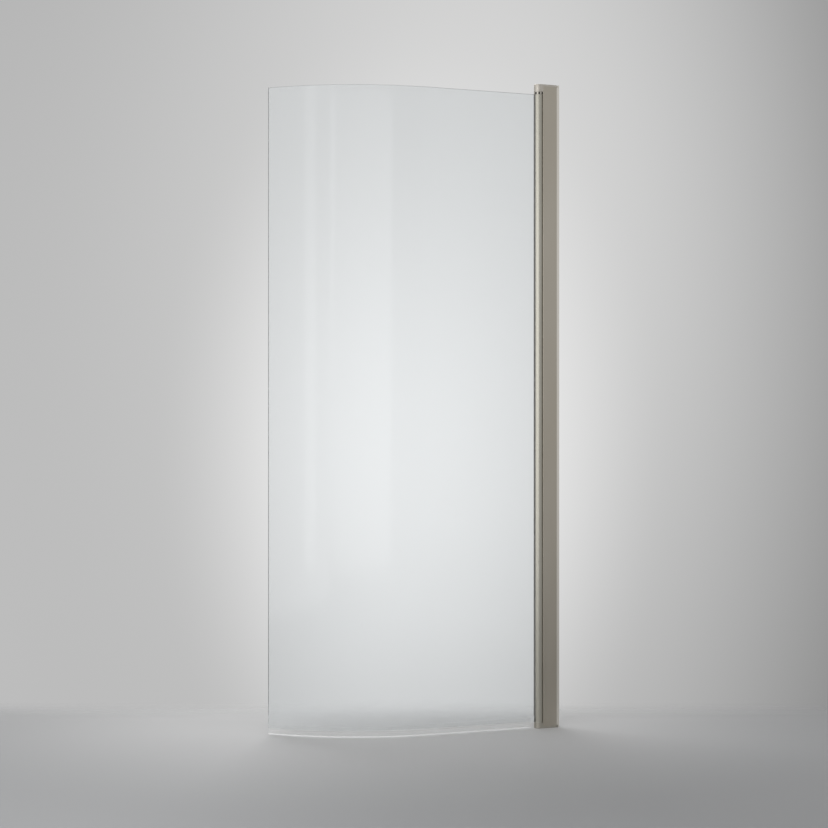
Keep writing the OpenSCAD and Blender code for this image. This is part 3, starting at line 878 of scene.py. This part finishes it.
tube = add_disc("round_hinge_tube", AXIS_X, 0, tube_low.z, tube_high.z, TUBE_R, sides=128)
combine(tube, "DIFFERENCE", add_disc(
    "bore", AXIS_X, 0, tube_low.z - PAST, tube_high.z + PAST, TUBE_R - WALL, sides=128))
rib_y = SLOT_Y + RIB
rib_end_x = AXIS_X - math.sqrt((TUBE_R - WALL / 2) ** 2 - rib_y ** 2)
combine(tube, "UNION", add_block(
    "ribs", (rib_end_x, -rib_y, tube_low.z + BORED),
    (SLOT_FLOOR_X + RIB, rib_y, tube_high.z - BORED)))
combine(tube, "DIFFERENCE", add_block(
    "slot", (AXIS_X - TUBE_R - PAST, -SLOT_Y, tube_low.z + BORED),
    (SLOT_FLOOR_X, SLOT_Y, tube_high.z - BORED)))
combine(tube, "DIFFERENCE", add_block(
    "end_slots", (AXIS_X - TUBE_R - PAST, -SLOT_Y, tube_low.z - PAST),
    (AXIS_X, SLOT_Y, tube_high.z + PAST)))
print("faces of the slotted tube:", len(tube.data.polygons))


# %% Round the lips and ends of the tube
def on_rim(vert):
    return near(math.hypot(vert.co.x - AXIS_X, vert.co.y), TUBE_R)


def is_lip(edge):
    return all(on_rim(vert) and near(abs(vert.co.y), SLOT_Y) for vert in edge.verts)


def is_end(edge):
    first, second = edge.verts
    same_end = near(first.co.z, second.co.z) and (
        near(first.co.z, tube_low.z) or near(first.co.z, tube_high.z))
    return same_end and on_rim(first) and on_rim(second)


rounded = pick(tube, "EDGE", lambda edge: is_lip(edge) or is_end(edge))
bpy.ops.mesh.bevel(offset=0.4 * MM, segments=3)
close()
complete(tube, tube_metal, "door", "hinge_tube")
print("edges rounded on the tube:", rounded)

# %% [markdown]
# ## The two brackets
#
# A bracket closes an end of the post, and its round nose holds a pivot pin over or under the
# tube. Both are one casting: half a cylinder, pulled on to the post as a bar, with a thinner
# plate pulled on from there over the end of the post. The outside edge of a casting is rounded
# by hand before it is blasted, and that soft edge catches the light from above.

# %% Model a bracket
PLATE_END_X = post_high.x
NOSE_BACK_X = post_low.x - 0.2 * MM
BRACKET_ROUND = 1.0 * MM
SCREW_X = -43.4 * MM
SCREW_Y = 8 * MM
SHANK_R = 1.7 * MM
HEAD_R = 3.6 * MM
HEAD_H = 2.2 * MM
TOP_PIN_R = 5 * MM
FOOT_PIN_R = 4 * MM
FOOT_FLOOR = 4 * MM  # left under the foot's pin


def model_bracket(name, outer_z, nose_z, plate_z):
    """The outside of the bracket, the inner end of its nose and the inner face of its plate."""
    up = 1 if outer_z > nose_z else -1
    bracket = add_disc(name, AXIS_X, 0, *sorted((outer_z, nose_z)), TUBE_R)
    slice_at(bracket, (AXIS_X, 0, 0), (1, 0, 0), keep_below=True)
    pull(bracket, "FACE", lambda face: face.normal.x > 0.9, (NOSE_BACK_X - AXIS_X, 0, 0))
    slice_at(bracket, (0, 0, plate_z), (0, 0, 1))
    pull(
        bracket, "FACE",
        lambda face: face.normal.x > 0.9 and (face.calc_center_median().z - plate_z) * up > 0,
        (PLATE_END_X - NOSE_BACK_X, 0, 0))
    pick(
        bracket, "EDGE",
        lambda edge: all(near(vert.co.z, outer_z) for vert in edge.verts)
        and edge.calc_face_angle(0) > 1 and not near(middle_of(edge).x, PLATE_END_X))
    bpy.ops.mesh.bevel(offset=BRACKET_ROUND, segments=4)
    close()
    for y in (-SCREW_Y, SCREW_Y):
        head = add_disc(
            "countersink", SCREW_X, y, *sorted((outer_z, outer_z - up * HEAD_H)),
            HEAD_R if up < 0 else SHANK_R, sides=48, top_radius=HEAD_R if up > 0 else SHANK_R)
        combine(bracket, "DIFFERENCE", head)
        shank = add_disc(
            "screw_hole", SCREW_X, y, *sorted((outer_z + up * PAST, plate_z - up * PAST)),
            SHANK_R, sides=48)
        combine(bracket, "DIFFERENCE", shank)
    return bracket


top_low, top_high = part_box("top_bracket")
top_cap = model_bracket("top_pivot_bracket", top_high.z, top_low.z, post_high.z)
combine(top_cap, "DIFFERENCE", add_disc(
    "pin_hole", AXIS_X, 0, top_low.z - PAST, top_high.z + PAST, TOP_PIN_R, sides=64))
foot_low, foot_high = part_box("bottom_bracket")
foot = model_bracket("bottom_pivot_bracket", foot_low.z, foot_high.z, post_low.z)
combine(foot, "DIFFERENCE", add_disc(
    "pin_hole", AXIS_X, 0, foot_low.z + FOOT_FLOOR, foot_high.z + PAST, FOOT_PIN_R, sides=64))
# The foot takes the darker copy of the casting, which is painted shade.
brackets = ((top_cap, casting_metal_and_highlight, "top_bracket"), (foot, foot_metal_painted_shade, "bottom_bracket"))
for piece, finish, node in brackets:
    soften(piece, 0.2 * MM, from_angle=40)
    complete(piece, finish, "post", node)

# %% [markdown]
# ## The slotted ring
#
# Between nose and tube sits a ring with slots all round, for the hook spanner that sets how far
# the hinge lifts. Through the slots one sees the black collar inside, as a row of dark
# dots. Four bars across the axis cut the eight slots, which leaves a closed band on top.

# %% Model the ring
ring_low, ring_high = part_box("pivot_lock_ring")
RING_BORE = 11.5 * MM
RING_BAND = 1.2 * MM
SLOT_W = 5.4 * MM
FIRST_SLOT = 30  # degrees
SLOT_STEP = 45
BARS = 4  # each cuts two slots, one on each side

ring = add_disc("slotted_ring", AXIS_X, 0, ring_low.z, ring_high.z, TUBE_R)
combine(ring, "DIFFERENCE", add_disc(
    "bore", AXIS_X, 0, ring_low.z - PAST, ring_high.z + PAST, RING_BORE))
slot_low = ring_low.z - PAST
slot_high = ring_high.z - RING_BAND
for bar in range(BARS):
    bpy.ops.object.select_all(action="DESELECT")
    bpy.ops.mesh.primitive_cube_add(
        size=1, location=(AXIS_X, 0, (slot_low + slot_high) / 2),
        rotation=(0, 0, math.radians(FIRST_SLOT + bar * SLOT_STEP)),
        scale=(2 * TUBE_R + PAST, SLOT_W, slot_high - slot_low))
    combine(ring, "DIFFERENCE", start("slot_bar"))
soften(ring, 0.25 * MM, from_angle=40)
complete(ring, casting_metal_and_highlight, "post", "pivot_lock_ring")

# %% [markdown]
# ## The screw covers
#
# Three small round covers hide the clamp screws, on the shower side of the post. Each is a
# shallow cup: a disc whose outer rim is rounded, with its back pressed in over the screw
# head. One is modelled and the two others are copies.

# %% Model the screw covers
cover_low, cover_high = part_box("screw_caps")
COVER_R = (cover_high.x - cover_low.x) / 2
COVER_WALL = 1.2 * MM
COVER_ROUND = 1.3 * MM
cover_x = (cover_low.x + cover_high.x) / 2
cover_first_z = cover_low.z + COVER_R
cover_pitch = (cover_high.z - cover_low.z - 2 * COVER_R) / 2

bpy.ops.object.select_all(action="DESELECT")
bpy.ops.mesh.primitive_cylinder_add(
    vertices=64, radius=COVER_R, depth=cover_high.y - cover_low.y, rotation=(math.pi / 2, 0, 0),
    location=(cover_x, (cover_low.y + cover_high.y) / 2, cover_first_z))
cover = start("screw_cover_1")
pick(cover, "EDGE", lambda edge: all(near(vert.co.y, cover_high.y) for vert in edge.verts))
bpy.ops.mesh.bevel(offset=COVER_ROUND, segments=6)
close()
pick(cover, "FACE", lambda face: face.normal.y < -0.9)
bpy.ops.mesh.inset(thickness=COVER_WALL)
bpy.ops.mesh.extrude_region_move(
    TRANSFORM_OT_translate={"value": (0, cover_high.y - cover_low.y - COVER_WALL, 0)})
close()
covers = [cover]
for number in (1, 2):
    twin = copy_of(cover, f"screw_cover_{number + 1}")
    pick(twin, "FACE", lambda face: True)
    bpy.ops.transform.translate(value=(0, 0, number * cover_pitch))
    close()
    covers.append(twin)
for piece in covers:
    complete(piece, casting_metal_and_highlight, "post", "screw_caps")
